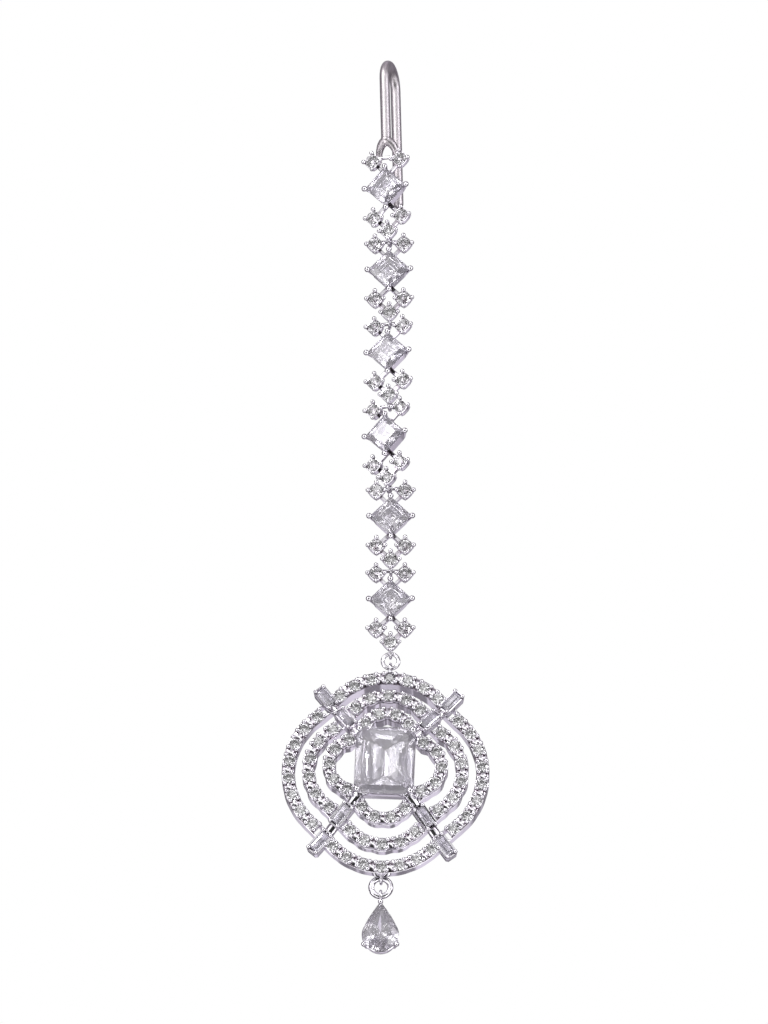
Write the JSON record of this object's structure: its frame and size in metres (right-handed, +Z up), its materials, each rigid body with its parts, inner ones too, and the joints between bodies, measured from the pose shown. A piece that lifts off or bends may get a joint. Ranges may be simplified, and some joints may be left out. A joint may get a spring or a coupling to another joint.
{
  "type": "maang tikka",
  "caption": "Hair jewel worn in the parting: a hairpin hook, a strip of jewelled links and a pierced oval pendant with a pear drop.",
  "frame": {"origin": "inside top of the hook's bend, where the jewel hangs in the hair", "axes": "+Z up along the hanging strip, +X to the right seen from the jewelled face, the jewelled face towards -Y"},
  "size_m": [0.0346, 0.0128, 0.1613],
  "materials": {
    "metal": "bright rhodium plate on cast brass, polished",
    "stone": "faceted colourless cubic zirconia, clear with a faint lilac cast"
  },
  "bodies": {
    "strip": {"hook_link": "metal", "link_2": "metal", "link_3": "metal", "link_4": "metal", "link_5": "metal", "link_6": "metal", "princess_stone_1": "stone", "princess_stone_2": "stone", "princess_stone_3": "stone", "princess_stone_4": "stone", "princess_stone_5": "stone", "princess_stone_6": "stone"},
    "jump_ring": {"upper_jump_ring": "metal"},
    "pendant": {"pendant_frame": "metal", "centre_stone": "stone", "baguette_upper_left_inner": "stone", "baguette_upper_left_outer": "stone", "baguette_upper_right_inner": "stone", "baguette_upper_right_outer": "stone", "baguette_lower_left_inner": "stone", "baguette_lower_left_outer": "stone", "baguette_lower_right_inner": "stone", "baguette_lower_right_outer": "stone", "lower_jump_ring": "metal", "pear_setting": "metal", "pear_stone": "stone"}
  },
  "joints": [
    {"name": "ring_swing", "type": "hinge", "parent": "strip", "child": "jump_ring", "pos_m": [0.00015, 0, -0.10643], "axis": [1, 0, 0], "range_deg": [-90, 90]},
    {"name": "pendant_sway", "type": "hinge", "parent": "jump_ring", "child": "pendant", "pos_m": [0.00015, 0, -0.10775], "axis": [0, 1, 0], "range_deg": [-75, 75]}
  ]
}
